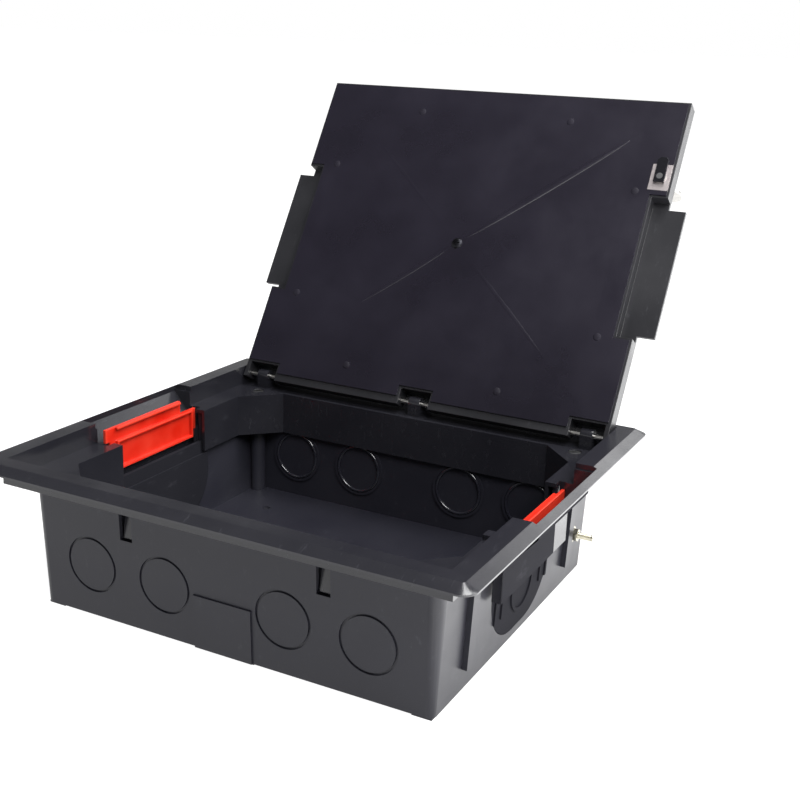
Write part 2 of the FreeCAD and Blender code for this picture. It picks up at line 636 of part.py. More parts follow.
def open_lid():
    """The turn about the hinge line that takes the closed lid to its open stop."""
    hinge = Vector(0, HINGE_Y.number, HINGE_Z.number)
    return Placement(Vector(), Rotation(Vector(1, 0, 0), -s.open_angle.number), hinge)


def make_lid_tray():
    body = new_body("lid_tray")
    half = s.lid_depth / 2
    slab = sketch(body, "XY_Plane", "slab", PLATE_TOP)
    rectangle(slab, -s.lid_length / 2, s.lid_length / 2, -half, half)
    block = pad(body, slab, FLANGE_TOP - PLATE_TOP)
    back_top = [f"Edge{number}" for number, edge in enumerate(body.Shape.Edges, start=1)
                if abs(edge.CenterOfMass.y - half.number) < 1e-6
                and abs(edge.CenterOfMass.z - FLANGE_TOP.number) < 1e-6]
    rounding = body.newObject("PartDesign::Fillet", "back_rounding")
    rounding.Base = (block, back_top)
    bind(rounding, "Radius", s.tray_round)
    doc.recompute()

    pan_x = s.lid_length / 2 - s.tray_wall
    step_x = s.step_place - s.tray_wall
    step_y = s.step_half + s.tray_wall
    pan_front = s.tray_wall - half
    pan_back = half - s.hinge_band
    pan = sketch(body, "XY_Plane", "pan", PLATE_TOP + s.tray_floor)
    outline(pan, [(-pan_x, pan_front), (pan_x, pan_front), (pan_x, -step_y), (step_x, -step_y),
                  (step_x, step_y), (pan_x, step_y), (pan_x, pan_back), (-pan_x, pan_back),
                  (-pan_x, step_y), (-step_x, step_y), (-step_x, -step_y), (-pan_x, -step_y)])
    pocket(body, pan, s.lid_thick)

    steps = sketch(body, "XY_Plane", "steps", LID_UNDER)
    ears = sketch(body, "XY_Plane", "ears", EAR_UNDER)
    for side in (-1, 1):
        rectangle(steps, side * s.step_place, side * (s.lid_length / 2 + 1), -s.step_half,
                  s.step_half)
        rectangle(ears, side * (s.lid_length / 2 - s.tray_wall),
                  side * (s.lid_length / 2 + s.ear_reach), -s.ear_half, s.ear_half)
    pocket(body, steps, EAR_UNDER - LID_UNDER)
    pad(body, ears, s.ear_thick)

    slots = sketch(body, "XY_Plane", "hinge_slots", LID_UNDER)
    for name, x in STATIONS:
        rectangle(slots, x - s.slot_width / 2, x + s.slot_width / 2, half - s.slot_depth, half + 1)
    pocket(body, slots, s.lid_thick + 1)
    for name, x in STATIONS:
        bore = sketch(body, "YZ_Plane", f"{name}_pin_bore", x)
        circle(bore, HINGE_Y, HINGE_Z, s.pin_radius)
        pocket(body, bore, s.pin_length, symmetric=True)

    centre = sketch(body, "XY_Plane", "centre_hole", LID_UNDER)
    circle(centre, ZERO, ZERO, s.screw_radius)
    pocket(body, centre, s.plate_thick + s.tray_floor + 1)

    well = sketch(body, "XY_Plane", "lock_well", LID_UNDER)
    rectangle(well, s.lock_x - s.case_length / 2, s.lock_x + s.case_length / 2,
              s.lock_y - s.case_width / 2, s.lock_y + s.case_width / 2)
    pocket(body, well, s.lid_thick + 1)
    body.Placement = open_lid()
    return body


RIVETS = [(x, y) for x in both(s.rivet_far_x) for y in both(s.rivet_near_y)]
RIVETS += [(x, y) for x in both(s.rivet_near_x) for y in both(s.rivet_far_y)]


def make_lid_stiffener():
    """Steel plate under the tray, cross-broken: four flat faces that meet on two diagonals."""
    body = new_body("lid_stiffener")
    half_x = s.lid_length / 2 - s.plate_inset
    front = s.plate_inset - s.lid_depth / 2
    back = s.lid_depth / 2 - s.hinge_setback - s.plate_inset
    plate = sketch(body, "XY_Plane", "plate", LID_UNDER)
    rectangle(plate, -half_x, half_x, front, back)
    pad(body, plate, s.plate_thick)

    wide = sketch(body, "XY_Plane", "crease_base", LID_UNDER)
    reach_x = s.rivet_far_x - s.rivet_head - s.crease_gap
    reach_y = s.rivet_far_y - s.rivet_head - s.crease_gap
    rectangle(wide, -reach_x, reach_x, -reach_y, reach_y)
    narrow = sketch(body, "XY_Plane", "crease_top", LID_UNDER - s.crease_height)
    rectangle(narrow, -s.crease_flat / 2, s.crease_flat / 2, -s.crease_flat / 2, s.crease_flat / 2)
    crease = body.newObject("PartDesign::AdditiveLoft", "crease")
    crease.Profile = wide
    crease.Sections = [narrow]
    crease.Ruled = True
    doc.recompute()

    steps = sketch(body, "XY_Plane", "steps", LID_UNDER - s.plate_thick)
    for side in (-1, 1):
        rectangle(steps, side * (s.step_place - s.plate_inset), side * (half_x + 1),
                  -(s.step_half + s.plate_inset), s.step_half + s.plate_inset)
    slot_front = s.lid_depth / 2 - s.slot_depth - s.plate_inset
    for name, x in STATIONS:
        reach = s.slot_width / 2 + s.plate_inset
        high = x + reach + (2 * s.plate_inset if name == "right" else ZERO)
        low = x - reach - (2 * s.plate_inset if name == "left" else ZERO)
        rectangle(steps, low, high, slot_front, back + 1)
    pocket(body, steps, 3 * s.plate_thick)

    deep = s.crease_height + 1
    holes = sketch(body, "XY_Plane", "holes", LID_UNDER - deep)
    rectangle(holes, s.lock_x - s.case_length / 2, s.lock_x + s.case_length / 2,
              s.lock_y - s.case_width / 2, s.lock_y + s.case_width / 2)
    circle(holes, ZERO, ZERO, s.screw_radius)
    for x, y in RIVETS:
        circle(holes, x, y, s.rivet_radius)
    pocket(body, holes, deep + s.plate_thick + 1)
    body.Placement = open_lid()
    return body


# ---------------------------------------------------------------- turned parts and fasteners


def cylinder(name, radius, height, base, turn=None):
    thing = doc.addObject("Part::Cylinder", name)
    bind(thing, "Radius", Size.of(radius))
    bind(thing, "Height", Size.of(height))
    along = Vector(*(Size.of(value).number for value in base))
    thing.Placement = Placement(along, turn or Rotation())
    for axis, value in zip("xyz", base):
        bind(thing, f"Placement.Base.{axis}", Size.of(value))
    return thing


def cone(name, low_radius, high_radius, height, base):
    thing = doc.addObject("Part::Cone", name)
    bind(thing, "Radius1", Size.of(low_radius))
    bind(thing, "Radius2", Size.of(high_radius))
    bind(thing, "Height", Size.of(height))
    for axis, value in zip("xyz", base):
        bind(thing, f"Placement.Base.{axis}", Size.of(value))
    return thing


def fuse(name, pieces):
    joined = doc.addObject("Part::MultiFuse", name)
    joined.Shapes = pieces
    joined.Label = name
    return joined


def cut(name, body, tool):
    result = doc.addObject("Part::Cut", name)
    result.Base = body
    result.Tool = tool
    result.Label = name
    return result


def group(name, pieces):
    """Identical fasteners in one node: separate solids side by side."""
    bundle = doc.addObject("Part::Compound", name)
    bundle.Links = pieces
    bundle.Label = name
    return bundle


ALONG_X = Rotation(Vector(0, 1, 0), 90)
ALONG_Y = Rotation(Vector(1, 0, 0), -90)


def make_frame_screws():
    screws = []
    head_low = LEDGE_TOP - s.screw_head_thick - s.head_play
    for number, (x, y) in enumerate((x, y) for x in both(COLUMN_X) for y in both(COLUMN_Y)):
        shank = cylinder(f"screw_shank_{number}", s.screw_radius,
                         head_low - s.box_top + s.screw_length,
                         (x, y, s.box_top - s.screw_length))
        head = cylinder(f"screw_head_{number}", s.screw_head, s.screw_head_thick, (x, y, head_low))
        screws.append(fuse(f"frame_screw_{number}", [shank, head]))
    return group("frame_screws", screws)


def make_earth_parts():
    wall_out = s.box_length / 2 + (s.stud_height - s.foot_height) * DRAFT_SLOPE
    wall_in = wall_out - s.box_wall
    tilt = s.washer_radius * DRAFT_SLOPE
    head_out = wall_in - tilt
    nut_out = wall_out + tilt + s.washer_thick + s.nut_thick
    shank = cylinder("stud_shank", s.stud_radius + s.stud_relief, nut_out - head_out,
                     (head_out, s.stud_place, s.stud_height), ALONG_X)
    tail = cylinder("stud_tail", s.stud_radius, wall_out + s.stud_reach - nut_out,
                    (nut_out, s.stud_place, s.stud_height), ALONG_X)
    head = cylinder("stud_head", s.stud_head, s.stud_head_thick,
                    (head_out - s.stud_head_thick, s.stud_place, s.stud_height), ALONG_X)
    stud = fuse("earth_stud", [shank, tail, head])
    washer_in = wall_out + tilt
    ring = cylinder("washer_disc", s.washer_radius, s.washer_thick,
                    (washer_in, s.stud_place, s.stud_height), ALONG_X)
    eye = cylinder("washer_eye", s.stud_radius + s.stud_relief, s.washer_thick + 2,
                   (washer_in - 1, s.stud_place, s.stud_height), ALONG_X)
    washer = cut("earth_washer", ring, eye)
    prism = doc.addObject("Part::Prism", "nut_prism")
    prism.Polygon = 6
    bind(prism, "Circumradius", s.nut_flats / (2 * cosine(Size(30, "30"))))
    bind(prism, "Height", s.nut_thick)
    prism.Placement = Placement(Vector(), ALONG_X)
    for axis, value in zip("xyz", (washer_in + s.washer_thick, s.stud_place, s.stud_height)):
        bind(prism, f"Placement.Base.{axis}", value)
    nut_eye = cylinder("nut_eye", s.stud_radius + s.stud_relief, s.nut_thick + 2,
                       (washer_in + s.washer_thick - 1, s.stud_place, s.stud_height), ALONG_X)
    nut = cut("earth_nut", prism, nut_eye)
    return [stud, washer, nut]


def on_lid(thing):
    """Take a piece drawn on the closed lid to the open lid."""
    holder = doc.addObject("Part::Compound", f"{thing.Name}_open")
    label = thing.Label
    thing.Label = f"{label}_closed"
    holder.Links = [thing]
    holder.Placement = open_lid()
    holder.Label = label
    return holder


def make_hinge_pin(name, x):
    pin = cylinder(f"hinge_pin_{name}", s.pin_radius, s.pin_length,
                   (x - s.pin_length / 2, HINGE_Y, HINGE_Z), ALONG_X)
    pin.Label = f"hinge_pin_{name}"
    return on_lid(pin)


def make_rivets():
    rivets = []
    for number, (x, y) in enumerate(RIVETS):
        shank = cylinder(f"rivet_shank_{number}", s.rivet_radius, s.plate_thick, (x, y, LID_UNDER))
        head = cone(f"rivet_head_{number}", s.rivet_head / 2, s.rivet_head, s.rivet_rise,
                    (x, y, LID_UNDER - s.rivet_rise))
        rivets.append(fuse(f"rivet_{number}", [shank, head]))
    return on_lid(group("stiffener_rivets", rivets))


def make_centre_screw():
    low = LID_UNDER - s.crease_height
    head = cone("centre_head", s.screw_head - s.screw_head_thick / 2, s.screw_head,
                s.screw_head_thick, (ZERO, ZERO, low - s.screw_head_thick))
    shank = cylinder("centre_shank", s.screw_radius, PLATE_TOP + s.tray_floor - low,
                     (ZERO, ZERO, low))
    return on_lid(fuse("centre_screw", [head, shank]))


def make_lock():
    case_low = LID_UNDER
    body = new_body("lock_case")
    block = sketch(body, "XY_Plane", "block", case_low)
    rectangle(block, s.lock_x - s.case_length / 2, s.lock_x + s.case_length / 2,
              s.lock_y - s.case_width / 2, s.lock_y + s.case_width / 2)
    pad(body, block, s.lid_thick)
    bore = sketch(body, "XY_Plane", "bore", case_low - 1)
    circle(bore, s.lock_x, s.lock_y, s.plug_radius + s.running_play)
    pocket(body, bore, s.lid_thick + 2)
    body.Placement = open_lid()

    plug_solid = cylinder("plug_solid", s.plug_radius, s.lid_thick + s.cam_drop,
                          (s.lock_x, s.lock_y, CAM_TOP))
    plug_bore = cylinder("plug_bore", s.cam_screw_radius, s.cam_reach / 2,
                         (s.lock_x, s.lock_y, CAM_TOP - 1))
    plug = on_lid(cut("lock_plug", plug_solid, plug_bore))

    cam = new_body("lock_cam")
    blade = sketch(cam, "XY_Plane", "blade", CAM_TOP - s.cam_thick)
    tip = s.lock_y - s.cam_reach
    outline(blade, [(s.lock_x - s.cam_width / 2, s.lock_y + s.plug_radius),
                    (s.lock_x - s.cam_width / 2, tip + s.cam_width / 4),
                    (s.lock_x - s.cam_width / 4, tip), (s.lock_x + s.cam_width / 4, tip),
                    (s.lock_x + s.cam_width / 2, tip + s.cam_width / 4),
                    (s.lock_x + s.cam_width / 2, s.lock_y + s.plug_radius)])
    pad(cam, blade, s.cam_thick)
    eye = sketch(cam, "XY_Plane", "eye", CAM_TOP - s.cam_thick - 1)
    circle(eye, s.lock_x, s.lock_y, s.cam_screw_radius)
    pocket(cam, eye, s.cam_thick + 2)
    cam.Placement = open_lid()

    screw = cylinder("cam_screw", s.cam_screw_radius, s.cam_reach / 2 - 1 + s.cam_thick,
                     (s.lock_x, s.lock_y, CAM_TOP - s.cam_thick))
    screw.Label = "cam_screw"

    key = new_body("key")
    bow_low = FLANGE_TOP + s.key_shank
    bow = sketch(key, "XZ_Plane", "bow", -s.lock_y)
    circle(bow, s.lock_x, bow_low + s.key_bow, s.key_bow)
    circle(bow, s.lock_x, bow_low + 1.2 * s.key_bow, s.key_hole)
    pad(key, bow, s.key_thick, symmetric=True)
    shank = sketch(key, "XZ_Plane", "shank", -s.lock_y)
    rectangle(shank, s.lock_x - s.key_bow / 3, s.lock_x + s.key_bow / 3, FLANGE_TOP,
              bow_low + s.key_bow / 4)
    pad(key, shank, s.key_thick, symmetric=True)
    key.Placement = open_lid()
    return [body, plug, cam, on_lid(screw), key]


pieces = [make_base_box(), make_entry_plate("left"), make_entry_plate("right"), make_rim_frame(),
          make_shutter(-1), make_shutter(1), make_frame_screws()]
pieces += make_earth_parts()
pieces += [make_lid_tray(), make_lid_stiffener(), make_rivets(), make_centre_screw()]
pieces += [make_hinge_pin(name, x) for name, x in STATIONS]
pieces += make_lock()

# ---------------------------------------------------------------- check and write

doc.recompute()
for item in doc.Objects:
    if "Invalid" in item.State or "Error" in item.State:
        raise RuntimeError(f"{item.Name} failed: {item.State}")
for piece in pieces:
    if piece.Shape.isNull() or not piece.Shape.isValid() or not piece.Shape.Solids:
        raise RuntimeError(f"{piece.Label} has no valid shape")

os.makedirs("parts", exist_ok=True)
for piece in pieces:
    piece.Shape.exportStep(f"parts/{piece.Label}.step")
    print(piece.Label, len(piece.Shape.Solids), round(piece.Shape.Volume / 1000, 2), "cm3")
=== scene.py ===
import bpy
import bmesh
import json
import math
from mathutils import Matrix, Vector


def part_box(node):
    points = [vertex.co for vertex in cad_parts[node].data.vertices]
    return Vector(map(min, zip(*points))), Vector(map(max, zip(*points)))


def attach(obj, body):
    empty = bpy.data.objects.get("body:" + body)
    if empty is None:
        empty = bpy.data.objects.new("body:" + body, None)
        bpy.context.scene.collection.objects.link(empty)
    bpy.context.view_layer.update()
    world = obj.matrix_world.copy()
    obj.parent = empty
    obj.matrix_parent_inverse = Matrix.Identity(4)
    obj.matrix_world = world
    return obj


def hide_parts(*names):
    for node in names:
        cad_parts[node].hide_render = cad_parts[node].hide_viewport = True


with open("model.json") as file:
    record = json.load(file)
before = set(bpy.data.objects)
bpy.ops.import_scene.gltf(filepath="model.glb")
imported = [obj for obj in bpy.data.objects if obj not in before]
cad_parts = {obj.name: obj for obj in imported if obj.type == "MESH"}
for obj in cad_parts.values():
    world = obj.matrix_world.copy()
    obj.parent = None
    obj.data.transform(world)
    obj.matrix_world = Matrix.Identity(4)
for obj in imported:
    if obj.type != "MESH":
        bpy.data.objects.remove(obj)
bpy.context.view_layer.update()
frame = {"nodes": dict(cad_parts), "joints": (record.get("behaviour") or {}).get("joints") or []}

bl_info = {
    "name": "Floor socket box",
    "version": (1, 1, 0),
    "blender": (4, 5, 0),
    "location": "3D View > Sidebar > Floor box",
    "description": "Finishes a floor socket box with an open lid, and sets it in a studio",
    "category": "Object",
}

MM = 0.001
HINGE = next(joint for joint in frame["joints"] if joint["name"] == "lid_hinge")
HINGE_POINT = Vector(HINGE["pos_m"])
OPEN_ANGLE = math.radians(HINGE["range_deg"][1])
# takes a shape drawn on the closed lid to the open one
LID_OPEN = (Matrix.Translation(HINGE_POINT) @ Matrix.Rotation(-OPEN_ANGLE, 4, "X")
            @ Matrix.Translation(-HINGE_POINT))


# ---------------------------------------------------------------- sizes and colours


def length(name, description, default):
    return bpy.props.FloatProperty(name=name, description=description, default=default,
                                   unit="LENGTH", subtype="DISTANCE", precision=5)


def turn(name, description, default):
    return bpy.props.FloatProperty(name=name, description=description,
                                   default=math.radians(default), subtype="ANGLE")


def amount(name, description, default):
    return bpy.props.FloatProperty(name=name, description=description, default=default)


def colour(name, description, default):
    return bpy.props.StringProperty(name=name, description=description, default=default)


class StudioSizes(bpy.types.PropertyGroup):
    """Where the camera and the lamps stand"""

    camera: bpy.props.FloatVectorProperty(
        name="Camera", description="Where the camera stands", subtype="TRANSLATION",
        default=(0.33026, -0.55852, 0.31505))
    yaw: turn("Yaw", "Camera's turn to the left of straight ahead", 27.07)
    pitch: turn("Pitch", "Camera's dip below the horizon", 17.15)
    roll: turn("Roll", "Camera's lean about its own axis", 1.99)
    lens: amount("Lens", "Focal length on a 36 mm sensor", 53.69)
    floor: length("Floor", "Half the width of the floor", 30.0)
    floor_grey: colour("Floor grey", "Colour of the acrylic sheet itself", "#8C8C8C")
    floor_light: amount("Floor light", "Own light of the lit floor sheet", 0.95)
    side_light: amount("Side light", "Own light of the floor sheet right of the box", 4.0)
    wall_height: amount("Wall height", "Sine of the white wall's height above the horizon", 0.24)
    wall_fade: amount("Wall fade", "How softly the white wall ends", 0.05)
    wall_light: amount("Wall light", "Brightness of the white wall round the studio", 1.0)
    ceiling_light: amount("Ceiling light", "Brightness of the dim space above the wall", 0.09)
    zenith_light: amount("Zenith light", "Brightness of the ceiling straight above", 0.15)
    key_light: amount("Key light", "Power of the large lamp above on the right, in watts", 66.0)
    rim_light: amount("Rim light", "Power of the lamp behind on the right, in watts", 3.4)
    top_light: amount("Top light", "Power of the lamp above the box, in watts", 26.0)
    fill_light: amount("Fill light", "Power of the lamp in front on the right, in watts", 42.0)


class MouldingColours(bpy.types.PropertyGroup):
    """Colours and surface of the moulded pieces"""

    box: colour("Box", "Moulded lower box", "#1A1A21")
    frame: colour("Frame", "Trim frame", "#16161B")
    # Painted shade: the entry plates are darker than the box, standing in for the shade under the cable
    # chutes.
    entry: colour("Entry plates", "Plates in the side walls", "#15151A")
    lid: colour("Lid", "Lid tray", "#131316")
    shutter: colour("Shutters", "Cable shutters", "#B81806")
    shutter_pale: colour("Shutter edges", "Where the shutters' rims let light through", "#D8432E")
    dust: colour("Dust", "Pale bloom on the black mouldings", "#6A6A70")
    edge: length("Edge radius", "Round on the moulded edges", 0.5 * MM)


class KnockOutSizes(bpy.types.PropertyGroup):
    """Raised rings round the knock-outs inside the box"""

    near_x: length("Near", "Distance of the inner knock-outs from the middle", 37 * MM)
    far_x: length("Far", "Distance of the outer knock-outs from the middle", 86 * MM)
    height: length("Height", "Height of their centres", 32.2 * MM)
    wall: length("Wall", "Distance of the wall's inner face at that height", 102.2 * MM)
    radius: length("Radius", "Radius of the ring", 15.3 * MM)
    bead: length("Bead", "Radius of the ring's section", 1.1 * MM)
    lean: turn("Lean", "How far the moulded wall leans outwards", 2.4)


class PlateSizes(bpy.types.PropertyGroup):
    """The steel plate under the lid"""

    plate: colour("Plate", "Coating of the plate", "#0F0D14")
    plate_sheen: colour("Plate sheen", "Lighter clouds in the coating", "#171420")
    crease_x: length("Crease reach across", "Half the creased part's width", 105.9 * MM)
    crease_y: length("Crease reach along", "Half the creased part's depth", 91.4 * MM)
    crease_rise: length("Crease rise", "How far the middle stands out", 1.4 * MM)
    bead: length("Crease bead", "Half the width of the rounded fold", 1.5 * MM)
    bead_gap: length("Bead gap", "Where the folds end, from the middle screw", 7.0 * MM)


class FastenerSizes(bpy.types.PropertyGroup):
    """Sizes of the small metal pieces"""

    steel: colour("Steel", "Zinc plated steel", "#8E8F90")
    bright: colour("Bright", "Ground and nickel plated steel", "#D2D0CC")
    casting: colour("Casting", "Bright zinc casting of the lock", "#D8CFCF")
    black: colour("Black casting", "Black passivated zinc of the cam and middle screw", "#2A2A2E")
    tinned: colour("Tinned brass", "Earth stud, washer and nut", "#BDB9A8")
    recess: length("Recess", "Width of the cross in a screw head", 4.4 * MM)
    recess_wing: length("Recess wing", "Width of the cross's wings", 0.9 * MM)
    recess_depth: length("Recess depth", "Depth of the cross in a screw head", 0.8 * MM)
    thread: length("Thread", "Pitch of the earth stud's thread", 0.7 * MM)
    bow: length("Key bow", "Radius of the key's bow", 10.0 * MM)
    bow_hole: length("Key hole", "Radius of the hole in the bow", 3.2 * MM)
    blade: length("Key blade", "Width of the key's blade", 6.8 * MM)
    key_thick: length("Key thickness", "Thickness of the key", 1.8 * MM)


class ChuteSizes(bpy.types.PropertyGroup):
    """Dark skin panels on the cable chutes, under the flange: painted shade where the flange shades them
    """

    out: length("Chute", "Distance of the chute's outer face from the middle", 147.51 * MM)
    apron: length("Apron", "Distance of the apron's outer face from the middle", 130.21 * MM)
    top: length("Top", "Height of the flange's underside", 84.0 * MM)
    lip: length("Lip", "Lower edge of the chute's outer face", 79.5 * MM)
    sill: length("Sill", "Upper edge of the apron's outer face", 60.0 * MM)
    low: length("Low", "Lower edge of the apron", 40.0 * MM)
    front: length("Front", "Where the panel starts along the wall", -46.8 * MM)
    back: length("Back", "Where the panel ends along the wall", 27.0 * MM)
    # The skin is a thin dark sheet of painted shade laid on the chute's outer face.
    skin: length("Skin", "How far the texture stands proud", 0.15 * MM)


# ---------------------------------------------------------------- materials


def to_linear(code):
    """An sRGB hex colour as linear light."""
    values = [int(code[place:place + 2], 16) / 255 for place in (1, 3, 5)]
    return tuple(value / 12.92 if value <= 0.04045 else ((value + 0.055) / 1.055) ** 2.4
                 for value in values) + (1.0,)


def add_node(tree, kind, settings=None, links=None):
    """Adds a node, sets its properties or sockets, and links its inputs."""
    item = tree.nodes.new(kind)
    for name, value in (settings or {}).items():
        if isinstance(name, str) and hasattr(item, name):
            setattr(item, name, value)
        else:
            item.inputs[name].default_value = value
    for name, source in (links or {}).items():
        tree.links.new(source, item.inputs[name])
    return item


def new_material(name):
    material = bpy.data.materials.new(name)
    material.use_nodes = True
    tree = material.node_tree
    tree.nodes.clear()
    place = add_node(tree, "ShaderNodeTexCoord").outputs["Object"]
    return material, tree, place


def close_material(tree, shader):
    add_node(tree, "ShaderNodeOutputMaterial", links={"Surface": shader.outputs[0]})


def moulded_black(name, base, dust_colour, roughness, grain=0.5 * MM, grain_height=0.02 * MM,
                  specular=0.5, dust=0.05, scuffs=0.10):
    """Injection moulded ABS: spark-eroded grain, faint flow marks, dust and rub marks.

    The grain of a real mould is about 0.1 mm; it is drawn as coarse as it needs to show.
    """
    material, tree, place = new_material(name)
    flow = add_node(tree, "ShaderNodeTexNoise", {"Scale": 1 / (45 * MM), "Detail": 3.0,
                                                 "Roughness": 0.55}, {"Vector": place})
    fine = add_node(tree, "ShaderNodeTexNoise", {"Scale": 1 / grain, "Detail": 2.0,
                                                 "Roughness": 0.6}, {"Vector": place})
    stretch = add_node(tree, "ShaderNodeMapping", {"Scale": (1.0, 0.16, 0.5),
                                                   "Rotation": (0.3, 0.2, 0.9)}, {"Vector": place})
    rub = add_node(tree, "ShaderNodeTexNoise", {"Scale": 1 / (3.2 * MM), "Detail": 5.0,
                                                "Roughness": 0.7},
                   {"Vector": stretch.outputs["Vector"]})
    rub_mask = add_node(tree, "ShaderNodeValToRGB", links={"Fac": rub.outputs["Fac"]})
    rub_mask.color_ramp.elements[0].position = 0.60
    rub_mask.color_ramp.elements[1].position = 0.74
    dust_mask = add_node(tree, "ShaderNodeMath", {"operation": "MULTIPLY", 1: dust},
                         {0: flow.outputs["Fac"]})
    rub_amount = add_node(tree, "ShaderNodeMath", {"operation": "MULTIPLY", 1: scuffs},
                          {0: rub_mask.outputs["Color"]})
    total = add_node(tree, "ShaderNodeMath", {"operation": "ADD"},
                     {0: dust_mask.outputs[0], 1: rub_amount.outputs[0]})
    tint = add_node(tree, "ShaderNodeMix", {"data_type": "RGBA", 6: to_linear(base),
                                            7: to_linear(dust_colour)},
                    {"Factor": total.outputs[0]})
    shine = add_node(tree, "ShaderNodeMapRange", {"From Min": 0.3, "From Max": 0.7,
                                                  "To Min": roughness - 0.05,
                                                  "To Max": roughness + 0.08},
                     {"Value": flow.outputs["Fac"]})
    bump = add_node(tree, "ShaderNodeBump", {"Strength": 0.5, "Distance": grain_height},
                    {"Height": fine.outputs["Fac"]})
    shader = add_node(tree, "ShaderNodeBsdfPrincipled",
                      {"IOR": 1.5, "Specular IOR Level": specular},
                      {"Base Color": tint.outputs[2], "Roughness": shine.outputs[0],
                       "Normal": bump.outputs["Normal"]})
    close_material(tree, shader)
    return material


def moulded_orange(name, base, pale):
    """Injection moulded ABS in signal orange: glossy and slightly translucent. Its rims are painted
    paler, as painted light shining through the thin edges, and it has random paler clouds.
    """
    material, tree, place = new_material(name)
    flow = add_node(tree, "ShaderNodeTexNoise", {"Scale": 1 / (16 * MM), "Detail": 3.0},
                    {"Vector": place})
    fine = add_node(tree, "ShaderNodeTexNoise", {"Scale": 1 / (0.7 * MM), "Detail": 2.0},
                    {"Vector": place})
    edge = add_node(tree, "ShaderNodeNewGeometry")
    # Painted light: the sharp rims turn paler, standing in for light shining through the thin edges.
    painted_edge_light = add_node(tree, "ShaderNodeMapRange", {"From Min": 0.52, "From Max": 0.62},
                    {"Value": edge.outputs["Pointiness"]})
    cloud = add_node(tree, "ShaderNodeMapRange", {"From Min": 0.35, "From Max": 0.75,
                                                  "To Max": 0.35},
                     {"Value": flow.outputs["Fac"]})
    pale_mask = add_node(tree, "ShaderNodeMath", {"operation": "MAXIMUM"},
                         {0: painted_edge_light.outputs[0], 1: cloud.outputs[0]})
    tint = add_node(tree, "ShaderNodeMix", {"data_type": "RGBA", 6: to_linear(base),
                                            7: to_linear(pale)},
                    {"Factor": pale_mask.outputs[0]})
    shine = add_node(tree, "ShaderNodeMapRange", {"To Min": 0.26, "To Max": 0.44},
                     {"Value": flow.outputs["Fac"]})
    bump = add_node(tree, "ShaderNodeBump", {"Strength": 0.4, "Distance": 0.02 * MM},
                    {"Height": fine.outputs["Fac"]})
    shader = add_node(tree, "ShaderNodeBsdfPrincipled",
                      {"IOR": 1.5, "Subsurface Weight": 0.08, "Subsurface Radius": (1.0, 0.3, 0.1),
                       "Subsurface Scale": 1.2 * MM},
                      {"Base Color": tint.outputs[2], "Roughness": shine.outputs[0],
                       "Normal": bump.outputs["Normal"]})
    close_material(tree, shader)
    return material


def coated_steel(name, base, sheen, roughness=0.30, specular=0.5):
    """Powder coated sheet steel: orange-peel ripple in the coat, soft clouds and wipe marks."""
    material, tree, place = new_material(name)
    peel = add_node(tree, "ShaderNodeTexNoise", {"Scale": 1 / (1.6 * MM), "Detail": 1.0},
                    {"Vector": place})
    wipe = add_node(tree, "ShaderNodeTexNoise", {"Scale": 1 / (60 * MM), "Detail": 4.0,
                                                 "Roughness": 0.6}, {"Vector": place})
    tint = add_node(tree, "ShaderNodeMix", {"data_type": "RGBA", 6: to_linear(base),
                                            7: to_linear(sheen)},
                    {"Factor": wipe.outputs["Fac"]})
    shine = add_node(tree, "ShaderNodeMapRange", {"From Min": 0.3, "From Max": 0.7,
                                                  "To Min": roughness - 0.06,
                                                  "To Max": roughness + 0.08},
                     {"Value": wipe.outputs["Fac"]})
    bump = add_node(tree, "ShaderNodeBump", {"Strength": 0.35, "Distance": 0.02 * MM},
                    {"Height": peel.outputs["Fac"]})
    shader = add_node(tree, "ShaderNodeBsdfPrincipled",
                      {"IOR": 1.5, "Specular IOR Level": specular},
                      {"Base Color": tint.outputs[2], "Roughness": shine.outputs[0],
                       "Normal": bump.outputs["Normal"]})
    close_material(tree, shader)
    return material


def bare_metal(name, base, roughness, brush, grain=(1.0, 1.0, 0.08)):
    """Plated or ground steel and brass: fine turning lines and cloudy plating."""
    material, tree, place = new_material(name)
    stretch = add_node(tree, "ShaderNodeMapping", {"Scale": grain}, {"Vector": place})
    lines = add_node(tree, "ShaderNodeTexNoise", {"Scale": 1 / brush, "Detail": 3.0},
                     {"Vector": stretch.outputs["Vector"]})
    cloud = add_node(tree, "ShaderNodeTexNoise", {"Scale": 1 / (2.5 * MM), "Detail": 3.0},
                     {"Vector": place})
    dark = tuple(value * 0.7 for value in to_linear(base)[:3]) + (1.0,)
    tint = add_node(tree, "ShaderNodeMix", {"data_type": "RGBA", 6: to_linear(base), 7: dark},
                    {"Factor": cloud.outputs["Fac"]})
    shine = add_node(tree, "ShaderNodeMapRange", {"To Min": roughness - 0.08,
                                                  "To Max": roughness + 0.12},
                     {"Value": lines.outputs["Fac"]})
    bump = add_node(tree, "ShaderNodeBump", {"Strength": 0.3, "Distance": 0.01 * MM},
                    {"Height": lines.outputs["Fac"]})
    shader = add_node(tree, "ShaderNodeBsdfPrincipled", {"Metallic": 1.0},
                      {"Base Color": tint.outputs[2], "Roughness": shine.outputs[0],
                       "Normal": bump.outputs["Normal"]})
    close_material(tree, shader)
    return material


# ---------------------------------------------------------------- helpers for pieces


def dress(name, material):
    """Gives a CAD node its material."""
    item = frame["nodes"][name]
    item.data.materials.clear()
    item.data.materials.append(material)
    return item


def soften(name, width, limit=34, segments=2):
    """Rounds the edges of a CAD node: joined, made of whole faces again, then bevelled."""
    item = frame["nodes"][name]
    weld = item.modifiers.new("Joined", "WELD")
    weld.merge_threshold = 0.002 * MM
    flat = item.modifiers.new("Whole faces", "DECIMATE")
    flat.decimate_type = "DISSOLVE"
    flat.angle_limit = math.radians(0.6)
    round_edges(item, width, limit, segments)
    return item


